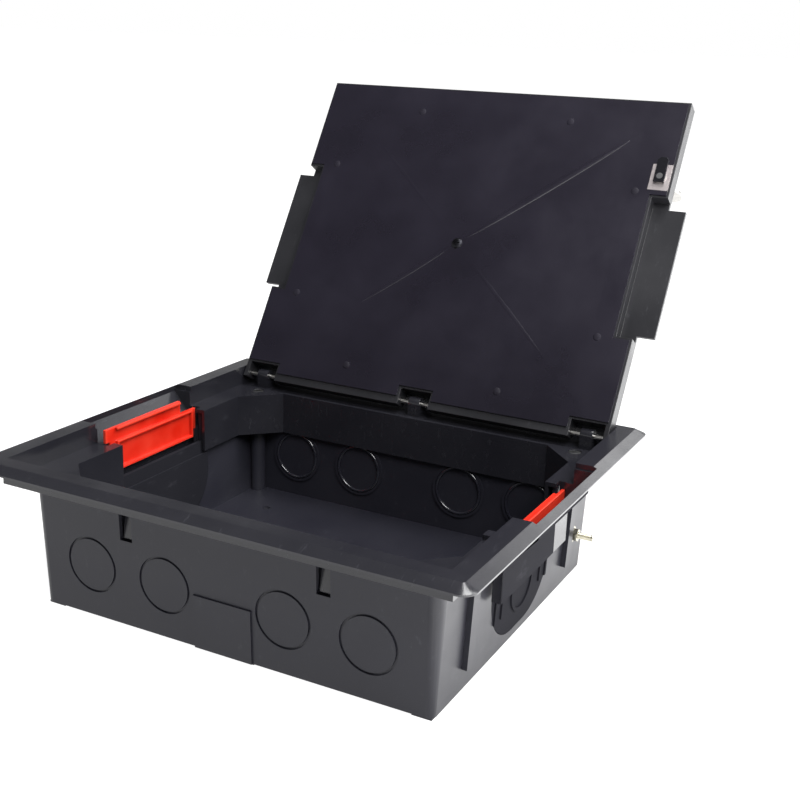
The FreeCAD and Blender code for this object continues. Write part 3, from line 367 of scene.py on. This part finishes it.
def round_edges(item, width, limit=34, segments=2):
    edge = item.modifiers.new("Edges", "BEVEL")
    edge.width = width
    edge.segments = segments
    edge.limit_method = "ANGLE"
    edge.angle_limit = math.radians(limit)
    edge.use_clamp_overlap = True


def finished(name, build, material, body, smooth=35):
    """Turns a bmesh into a piece that rides on a body."""
    bmesh.ops.remove_doubles(build, verts=build.verts, dist=0.001 * MM)
    bmesh.ops.recalc_face_normals(build, faces=build.faces)
    mesh = bpy.data.meshes.new(name)
    build.to_mesh(mesh)
    build.free()
    mesh.materials.append(material)
    mesh.shade_smooth()
    mesh.set_sharp_from_angle(angle=math.radians(smooth))
    piece = bpy.data.objects.new(name, mesh)
    bpy.context.scene.collection.objects.link(piece)
    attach(piece, body)
    return piece


def revolve(build, profile, place, steps=48):
    """Turns a half profile of (radius, height) pairs in millimetres about its own axis."""
    corners = [build.verts.new((radius * MM, 0, height * MM)) for radius, height in profile]
    edges = [build.edges.new(pair) for pair in zip(corners, corners[1:])]
    bmesh.ops.spin(build, geom=corners + edges, cent=(0, 0, 0), axis=(0, 0, 1),
                   angle=math.tau, steps=steps, use_merge=True)
    turned = [corner for corner in build.verts if not corner.tag]
    bmesh.ops.transform(build, matrix=place, verts=turned)
    bmesh.ops.remove_doubles(build, verts=turned, dist=0.001 * MM)
    for corner in build.verts:
        corner.tag = True


def block(build, low, high, place=Matrix()):
    """A box between two corners, in millimetres."""
    low, high = Vector(low) * MM, Vector(high) * MM
    size = high - low
    shape = Matrix.Translation((low + high) / 2) @ Matrix.Diagonal((*size, 1))
    bmesh.ops.create_cube(build, size=1.0, matrix=place @ shape)


def carve(piece, low, high, place=Matrix()):
    """Cuts a box out of a piece."""
    build = bmesh.new()
    block(build, low, high, place)
    mesh = bpy.data.meshes.new("cutter")
    build.to_mesh(mesh)
    build.free()
    tool = bpy.data.objects.new("cutter", mesh)
    bpy.context.scene.collection.objects.link(tool)
    cut = piece.modifiers.new("Cut", "BOOLEAN")
    cut.object = tool
    cut.operation = "DIFFERENCE"
    cut.solver = "EXACT"
    bpy.context.view_layer.update()
    ready = piece.evaluated_get(bpy.context.evaluated_depsgraph_get())
    carved = bpy.data.meshes.new_from_object(ready)
    piece.modifiers.clear()
    piece.data = carved
    bpy.data.objects.remove(tool)


def cross_recess(piece, sizes, x, y, top, place=Matrix(), sign=1):
    """Cuts the cross of a screwdriver into a screw head whose top is at the given height."""
    half, wing, deep = (value / MM / 2 for value in (sizes.recess, sizes.recess_wing,
                                                     2 * sizes.recess_depth))
    floor = top - sign * deep
    low, high = min(floor, top + sign), max(floor, top + sign)
    carve(piece, (x - half, y - wing, low), (x + half, y + wing, high), place)
    carve(piece, (x - wing, y - half, low), (x + wing, y + half, high), place)


# ---------------------------------------------------------------- operators


class FLOORBOX_OT_studio(bpy.types.Operator):
    """Lit white floor, white wall, dim ceiling, three soft lamps and the camera"""

    bl_idname = "floorbox.studio"
    bl_label = "Studio"

    def execute(self, context):
        sizes = context.scene.floorbox_studio
        scene = context.scene
        scene.view_settings.view_transform = "Standard"
        scene.view_settings.look = "None"

        world = bpy.data.worlds.new("studio")
        world.use_nodes = True
        tree = world.node_tree
        tree.nodes.clear()
        way = add_node(tree, "ShaderNodeTexCoord")
        split = add_node(tree, "ShaderNodeSeparateXYZ", links={"Vector": way.outputs["Generated"]})
        wall = add_node(tree, "ShaderNodeMapRange",
                        {"From Min": sizes.wall_height - sizes.wall_fade,
                         "From Max": sizes.wall_height + sizes.wall_fade,
                         "To Min": sizes.wall_light, "To Max": sizes.ceiling_light},
                        {"Value": split.outputs["Z"]})
        zenith = add_node(tree, "ShaderNodeMapRange",
                          {"From Min": 0.45, "From Max": 0.98, "To Max": sizes.zenith_light},
                          {"Value": split.outputs["Z"]})
        sky = add_node(tree, "ShaderNodeMath", {"operation": "ADD"},
                       {0: wall.outputs[0], 1: zenith.outputs[0]})
        glow = add_node(tree, "ShaderNodeBackground", {"Color": (1.0, 1.0, 1.0, 1.0)},
                        {"Strength": sky.outputs[0]})
        add_node(tree, "ShaderNodeOutputWorld", links={"Surface": glow.outputs[0]})
        scene.world = world

        sheet = bmesh.new()
        bmesh.ops.create_grid(sheet, x_segments=1, y_segments=1, size=sizes.floor)
        mesh = bpy.data.meshes.new("studio_floor")
        sheet.to_mesh(mesh)
        sheet.free()
        floor = bpy.data.objects.new("studio_floor", mesh)
        scene.collection.objects.link(floor)
        acrylic, tree, place = new_material("Acrylic sheet, opal, lit from below")
        # The sheet glows more on the right, so the right wall has a bright floor to mirror.
        across = add_node(tree, "ShaderNodeSeparateXYZ", links={"Vector": place})
        side = add_node(tree, "ShaderNodeMapRange",
                        {"From Min": 0.12, "From Max": 0.24, "To Min": sizes.floor_light,
                         "To Max": sizes.side_light}, {"Value": across.outputs["X"]})
        shader = add_node(tree, "ShaderNodeBsdfPrincipled",
                          {"Base Color": to_linear(sizes.floor_grey), "Roughness": 0.9,
                           "Specular IOR Level": 0.1, "Emission Color": (1.0, 1.0, 1.0, 1.0)},
                          {"Emission Strength": side.outputs[0]})
        close_material(tree, shader)
        mesh.materials.append(acrylic)

        for name, power, size, spot in (
                ("key", sizes.key_light, 1.4, (1.6, 0.85, 1.5)),
                ("rim", sizes.rim_light, 0.6, (0.35, 2.4, 1.25)),
                ("fill", sizes.fill_light, 0.9, (0.95, -0.9, 1.6)),
                ("top", sizes.top_light, 0.7, (0.45, 0.2, 1.6))):
            lamp = bpy.data.lights.new(name, "AREA")
            lamp.energy = power
            lamp.size = size
            holder = bpy.data.objects.new(name, lamp)
            holder.location = spot
            aim = Vector((0, 0.05, 0.1)) - Vector(spot)
            holder.rotation_mode = "QUATERNION"
            holder.rotation_quaternion = aim.to_track_quat("-Z", "Y")
            scene.collection.objects.link(holder)

        look = bpy.data.cameras.new("camera")
        look.sensor_width = 36.0
        look.lens = sizes.lens
        look.clip_start = 0.01
        look.clip_end = 200.0
        camera = bpy.data.objects.new("camera", look)
        yaw, pitch = -sizes.yaw, sizes.pitch
        ahead = Vector((math.sin(yaw) * math.cos(pitch), math.cos(yaw) * math.cos(pitch),
                        -math.sin(pitch)))
        level = Vector((math.cos(yaw), -math.sin(yaw), 0))
        top = level.cross(ahead)
        right = math.cos(sizes.roll) * level + math.sin(sizes.roll) * top
        up = -math.sin(sizes.roll) * level + math.cos(sizes.roll) * top
        stand = Matrix((right, up, -ahead)).transposed().to_4x4()
        stand.translation = Vector(sizes.camera)
        camera.matrix_world = stand
        scene.collection.objects.link(camera)
        scene.camera = camera
        return {"FINISHED"}


class FLOORBOX_OT_mouldings(bpy.types.Operator):
    """Materials and rounded edges of the moulded pieces"""

    bl_idname = "floorbox.mouldings"
    bl_label = "Mouldings"

    def execute(self, context):
        colours = context.scene.floorbox_colours
        dust = colours.dust
        box = moulded_black("ABS, moulded, satin", colours.box, dust, 0.34, specular=0.30,
                            dust=0.05)
        rim = moulded_black("ABS, moulded, trim", colours.frame, dust, 0.20, grain=0.4 * MM,
                            dust=0.06)
        # Painted shade: near-black and hardly reflecting, so the entry plates and chute skins read as
        # lying in the flange's shade.
        entry = moulded_black("ABS, moulded, coarse, painted shade", colours.entry, dust, 0.80, specular=0.06,
                              dust=0.04)
        lid = moulded_black("ABS, moulded, lid", colours.lid, dust, 0.42, specular=0.3, dust=0.08)
        orange = moulded_orange("ABS, moulded, orange", colours.shutter, colours.shutter_pale)
        moulded_black("ABS, moulded, polished", colours.box, dust, 0.14, grain_height=0.0,
                      specular=0.8, dust=0.02, scuffs=0.03)
        dress("base_box", box)
        dress("rim_frame", rim)
        dress("lid_tray", lid)
        for side in ("left", "right"):
            dress(f"{side}_entry_plate", entry)
            dress(f"{side}_shutter", orange)
            soften(f"{side}_entry_plate", 0.6 * colours.edge)
            soften(f"{side}_shutter", 0.8 * colours.edge)
        for name in ("base_box", "lid_tray"):
            soften(name, colours.edge)
        soften("rim_frame", 1.7 * colours.edge)
        return {"FINISHED"}


class FLOORBOX_OT_metals(bpy.types.Operator):
    """Materials of the steel, zinc and brass pieces"""

    bl_idname = "floorbox.metals"
    bl_label = "Metals"

    def execute(self, context):
        sizes = context.scene.floorbox_fasteners
        plate_sizes = context.scene.floorbox_plate
        coated_steel("Steel sheet, powder coated", plate_sizes.plate, plate_sizes.plate_sheen)
        coated_steel("Steel, powder coated, matt", plate_sizes.plate, plate_sizes.plate_sheen,
                     roughness=0.7, specular=0.2)
        zinc = bare_metal("Steel, zinc plated", sizes.steel, 0.34, 0.4 * MM)
        ground = bare_metal("Steel, ground", sizes.bright, 0.26, 0.3 * MM, grain=(0.1, 1.0, 1.0))
        black = bare_metal("Zinc casting, black passivated", sizes.black, 0.42, 0.5 * MM)
        cast = bare_metal("Zinc casting, bright", sizes.casting, 0.38, 0.6 * MM)
        bare_metal("Steel, nickel plated", sizes.bright, 0.22, 0.4 * MM)
        brass = bare_metal("Brass, tinned", sizes.tinned, 0.30, 0.3 * MM, grain=(0.1, 1.0, 1.0))
        plate = bpy.data.materials["Steel sheet, powder coated"]
        for name, material in (("lid_stiffener", plate), ("hinge_pin_left", ground),
                               ("hinge_pin_middle", ground), ("hinge_pin_right", ground),
                               ("lock_case", cast), ("lock_plug", ground), ("lock_cam", black),
                               ("cam_screw", zinc), ("earth_washer", brass),
                               ("earth_nut", brass)):
            dress(name, material)
        soften("lid_stiffener", 0.3 * MM, limit=60)
        for name in ("lock_case", "earth_nut", "lock_cam"):
            soften(name, 0.25 * MM)
        return {"FINISHED"}


class FLOORBOX_OT_knock_out_rings(bpy.types.Operator):
    """Raised rings round the knock-outs, on the inner faces of the front and back walls"""

    bl_idname = "floorbox.knock_out_rings"
    bl_label = "Knock-out rings"

    def execute(self, context):
        sizes = context.scene.floorbox_knock_outs
        build = bmesh.new()
        for side in (-1, 1):
            for x in (-sizes.far_x, -sizes.near_x, sizes.near_x, sizes.far_x):
                ring = bmesh.ops.create_circle(
                    build, segments=10, radius=sizes.bead,
                    matrix=Matrix.Translation((sizes.radius, 0, 0))
                    @ Matrix.Rotation(math.radians(90), 4, "X"))
                loop = ring["verts"]
                before = set(build.verts) - set(loop)
                edges = list({edge for corner in loop for edge in corner.link_edges})
                bmesh.ops.spin(build, geom=loop + edges, cent=(0, 0, 0), axis=(0, 0, 1),
                               angle=math.tau, steps=64, use_merge=True)
                made = [corner for corner in build.verts if corner not in before]
                lean = side * (math.radians(90) - sizes.lean)
                place = (Matrix.Translation((x, side * sizes.wall, sizes.height))
                         @ Matrix.Rotation(lean, 4, "X"))
                bmesh.ops.transform(build, matrix=place, verts=made)
        finished("knock_out_rings", build, bpy.data.materials["ABS, moulded, polished"], "housing",
                 smooth=80)
        return {"FINISHED"}


class FLOORBOX_OT_chute_panels(bpy.types.Operator):
    """Dark skin panels on the outsides of both cable chutes: painted shade under the flange"""

    bl_idname = "floorbox.chute_panels"
    bl_label = "Chute shade panels"

    def execute(self, context):
        sizes = context.scene.floorbox_chutes
        build = bmesh.new()
        for side in (-1, 1):
            profile = ((sizes.out, sizes.top), (sizes.out, sizes.lip), (sizes.apron, sizes.sill),
                       (sizes.apron, sizes.low))
            corners = [build.verts.new((side * x, side * sizes.front, z)) for x, z in profile]
            edges = [build.edges.new(pair) for pair in zip(corners, corners[1:])]
            drawn = bmesh.ops.extrude_edge_only(build, edges=edges)["geom"]
            moved = [item for item in drawn if isinstance(item, bmesh.types.BMVert)]
            bmesh.ops.translate(build, verts=moved,
                                vec=(0, side * (sizes.back - sizes.front), 0))
        bmesh.ops.recalc_face_normals(build, faces=build.faces)
        bmesh.ops.solidify(build, geom=list(build.faces), thickness=-sizes.skin)
        finished("chute_panels", build, bpy.data.materials["ABS, moulded, coarse, painted shade"], "housing")
        return {"FINISHED"}


# Corner of the plate that each fold runs to, its width, its height against its width, and the
# share of the way that it shows. They are unequal on purpose: a full fold catches the lamp, and
# a flat one stays dark.
FOLDS = ((1, -1, 1.5, 0.5, 0.93), (-1, 1, 1.2, 0.34, 0.55),
         (1, 1, 0.9, 0.08, 0.75), (-1, -1, 0.9, 0.05, 0.75))


class FLOORBOX_OT_crease_beads(bpy.types.Operator):
    """The rounded folds of the cross-broken plate, from its middle towards its corners"""

    bl_idname = "floorbox.crease_beads"
    bl_label = "Crease beads"

    def execute(self, context):
        sizes = context.scene.floorbox_plate
        under = min((LID_OPEN.inverted() @ corner.co).z
                    for corner in frame["nodes"]["lid_stiffener"].data.vertices)
        build = bmesh.new()
        for across, along, wide, flatness, reach in FOLDS:
            whole = Vector((across * sizes.crease_x, along * sizes.crease_y,
                            under + sizes.crease_rise))
            middle = Vector((0, 0, under))
            fold = (whole - middle) * reach
            far = middle + fold
            start = middle + fold.normalized() * sizes.bead_gap
            made = bmesh.ops.create_uvsphere(build, u_segments=20, v_segments=40, radius=1.0)
            turned = fold.to_track_quat("Z", "Y").to_matrix().to_4x4()
            place = (LID_OPEN @ Matrix.Translation((start + far) / 2) @ turned
                     @ Matrix.Diagonal((wide * sizes.bead, flatness * sizes.bead,
                                        (far - start).length / 2, 1)))
            bmesh.ops.transform(build, matrix=place, verts=made["verts"])
        finished("crease_beads", build, bpy.data.materials["Steel sheet, powder coated"], "lid",
                 smooth=80)
        return {"FINISHED"}


# Half profiles of the middle screw and a rivet on the closed lid, as radius and height in
# millimetres, and where a quarter of the plate has its rivets.
PLATE_SCREW = ((0, 73.2), (1.6, 73.28), (2.9, 73.7), (3.7, 74.4), (4, 75.1), (1.9, 75.1),
               (1.9, 79.2), (0, 79.2))
RIVET = ((0, 75.4), (0.9, 75.44), (1.8, 75.6), (2.4, 75.85), (2.6, 76), (1.5, 76.1),
         (1.5, 77.2), (0, 77.2))
RIVET_SPOTS = ((110.0, 50.0), (55.0, 95.5))
# Radii and head thickness of a frame screw, in millimetres.
SCREW_HEAD, SCREW_SHANK, SCREW_THICK = 4.0, 2.0, 1.4


class FLOORBOX_OT_screws(bpy.types.Operator):
    """Frame screws, middle screw and plate rivets with real heads, in place of the plain ones"""

    bl_idname = "floorbox.screws"
    bl_label = "Screws and rivets"

    def execute(self, context):
        sizes = context.scene.floorbox_fasteners
        zinc = bpy.data.materials["Steel, zinc plated"]
        low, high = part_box("frame_screws")
        head, shank, thick = SCREW_HEAD, SCREW_SHANK, SCREW_THICK
        x = high[0] / MM - head
        y = high[1] / MM - head
        top, foot = high[2] / MM, low[2] / MM
        build = bmesh.new()
        spots = [(across * x, along * y) for across in (-1, 1) for along in (-1, 1)]
        for across, along in spots:
            revolve(build, ((0, top), (3.1, top), (head, top - 0.45), (head, top - thick),
                            (shank, top - thick), (shank, foot + 0.6), (shank - 0.6, foot),
                            (0, foot)), Matrix.Translation((across * MM, along * MM, 0)), 32)
        screws = finished("frame_screw_heads", build, zinc, "housing")
        for across, along in spots:
            cross_recess(screws, sizes, across, along, top)
        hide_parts("frame_screws")

        build = bmesh.new()
        revolve(build, PLATE_SCREW, LID_OPEN, 40)
        middle = finished("plate_screw", build, bpy.data.materials["Zinc casting, black passivated"],
                          "lid")
        cross_recess(middle, sizes, 0, 0, PLATE_SCREW[0][1], LID_OPEN, sign=-1)
        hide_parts("centre_screw")

        build = bmesh.new()
        for across in (-1, 1):
            for along in (-1, 1):
                for x, y in RIVET_SPOTS:
                    place = LID_OPEN @ Matrix.Translation((across * x * MM, along * y * MM, 0))
                    revolve(build, RIVET, place, 24)
        rivets = finished("plate_rivets", build, bpy.data.materials["Steel, powder coated, matt"],
                          "lid", smooth=60)
        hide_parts("stiffener_rivets")
        return {"FINISHED"}


class FLOORBOX_OT_earth_stud(bpy.types.Operator):
    """The earth stud, with a domed head inside and a thread outside"""

    bl_idname = "floorbox.earth_stud"
    bl_label = "Earth stud"

    def execute(self, context):
        sizes = context.scene.floorbox_fasteners
        low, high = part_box("earth_stud")
        start, end = low[0] / MM, high[0] / MM
        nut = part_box("earth_nut")[1][0] / MM
        y, z = (low[1] + high[1]) / 2, (low[2] + high[2]) / 2
        pitch = sizes.thread / MM
        profile = [(0, start), (2.6, start + 0.25), (3.8, start + 1.2), (4, start + 3), (2.5, start + 3),
                   (2.5, nut), (2, nut)]
        turns = int((end - nut - 0.8) / pitch)
        for number in range(turns):
            root = nut + (number + 0.25) * pitch
            profile += [(2.0, root), (1.68, root + pitch / 2)]
        profile += [(2.0, end - 0.6), (1.5, end), (0, end)]
        build = bmesh.new()
        revolve(build, profile, Matrix.Translation((0, y, z))
                @ Matrix.Rotation(math.radians(90), 4, "Y"), 32)
        stud = finished("earth_stud_thread", build, bpy.data.materials["Brass, tinned"], "housing")
        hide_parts("earth_stud")
        return {"FINISHED"}


class FLOORBOX_OT_key(bpy.types.Operator):
    """The key, with a pierced round bow and a milled blade"""

    bl_idname = "floorbox.key"
    bl_label = "Key"

    def execute(self, context):
        sizes = context.scene.floorbox_fasteners
        closed = [LID_OPEN.inverted() @ corner.co for corner in frame["nodes"]["key"].data.vertices]
        x = (min(place.x for place in closed) + max(place.x for place in closed)) / 2
        y = (min(place.y for place in closed) + max(place.y for place in closed)) / 2
        low = min(place.z for place in closed)
        top = max(place.z for place in closed)
        thick = sizes.key_thick
        build = bmesh.new()
        rims = []
        for radius, rise in ((sizes.bow, 0), (sizes.bow_hole, 0.42 * sizes.bow)):
            made = bmesh.ops.create_circle(build, segments=48, radius=radius,
                                           matrix=Matrix.Translation((0, rise, 0)))
            rims += list({edge for corner in made["verts"] for edge in corner.link_edges})
        bow = bmesh.ops.bridge_loops(build, edges=rims)["faces"]
        drawn = bmesh.ops.extrude_face_region(build, geom=bow)["geom"]
        bmesh.ops.translate(build, vec=(0, 0, thick),
                            verts=[item for item in drawn if isinstance(item, bmesh.types.BMVert)])
        stand = (LID_OPEN @ Matrix.Translation((x, y + thick / 2, top - sizes.bow))
                 @ Matrix.Rotation(math.radians(90), 4, "X"))
        bmesh.ops.transform(build, matrix=stand, verts=build.verts)
        half = sizes.blade / MM / 2
        block(build, (x / MM - half, (y - thick / 2) / MM + 0.05, low / MM),
              (x / MM + half, (y + thick / 2) / MM - 0.05, (top - 2 * sizes.bow) / MM + 1.2),
              LID_OPEN)
        key = finished("cut_key", build, bpy.data.materials["Steel, nickel plated"], "lock")
        round_edges(key, 0.3 * MM, limit=50)
        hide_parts("key")
        return {"FINISHED"}


class FLOORBOX_PT_panel(bpy.types.Panel):
    """Buttons for each group of pieces"""

    bl_idname = "FLOORBOX_PT_panel"
    bl_label = "Floor socket box"
    bl_space_type = "VIEW_3D"
    bl_region_type = "UI"
    bl_category = "Floor box"

    def draw(self, context):
        for settings in SETTINGS:
            group = getattr(context.scene, settings)
            box = self.layout.box()
            for name in group.__annotations__:
                box.prop(group, name)
        for operator in OPERATORS:
            self.layout.operator(operator.bl_idname)


SETTINGS = {"floorbox_studio": StudioSizes, "floorbox_colours": MouldingColours,
            "floorbox_knock_outs": KnockOutSizes, "floorbox_chutes": ChuteSizes,
            "floorbox_plate": PlateSizes, "floorbox_fasteners": FastenerSizes}
OPERATORS = (FLOORBOX_OT_studio, FLOORBOX_OT_mouldings, FLOORBOX_OT_metals,
             FLOORBOX_OT_knock_out_rings, FLOORBOX_OT_chute_panels, FLOORBOX_OT_crease_beads,
             FLOORBOX_OT_screws, FLOORBOX_OT_earth_stud, FLOORBOX_OT_key)
CLASSES = tuple(SETTINGS.values()) + OPERATORS + (FLOORBOX_PT_panel,)


def register():
    for item in CLASSES:
        bpy.utils.register_class(item)
    for name, group in SETTINGS.items():
        setattr(bpy.types.Scene, name, bpy.props.PointerProperty(type=group))


def unregister():
    for name in SETTINGS:
        delattr(bpy.types.Scene, name)
    for item in reversed(CLASSES):
        bpy.utils.unregister_class(item)


def main():
    register()
    bpy.ops.floorbox.studio()
    bpy.ops.floorbox.mouldings()
    bpy.ops.floorbox.metals()
    bpy.ops.floorbox.knock_out_rings()
    bpy.ops.floorbox.chute_panels()
    bpy.ops.floorbox.crease_beads()
    bpy.ops.floorbox.screws()
    bpy.ops.floorbox.earth_stud()
    bpy.ops.floorbox.key()


if __name__ == "__main__":
    main()
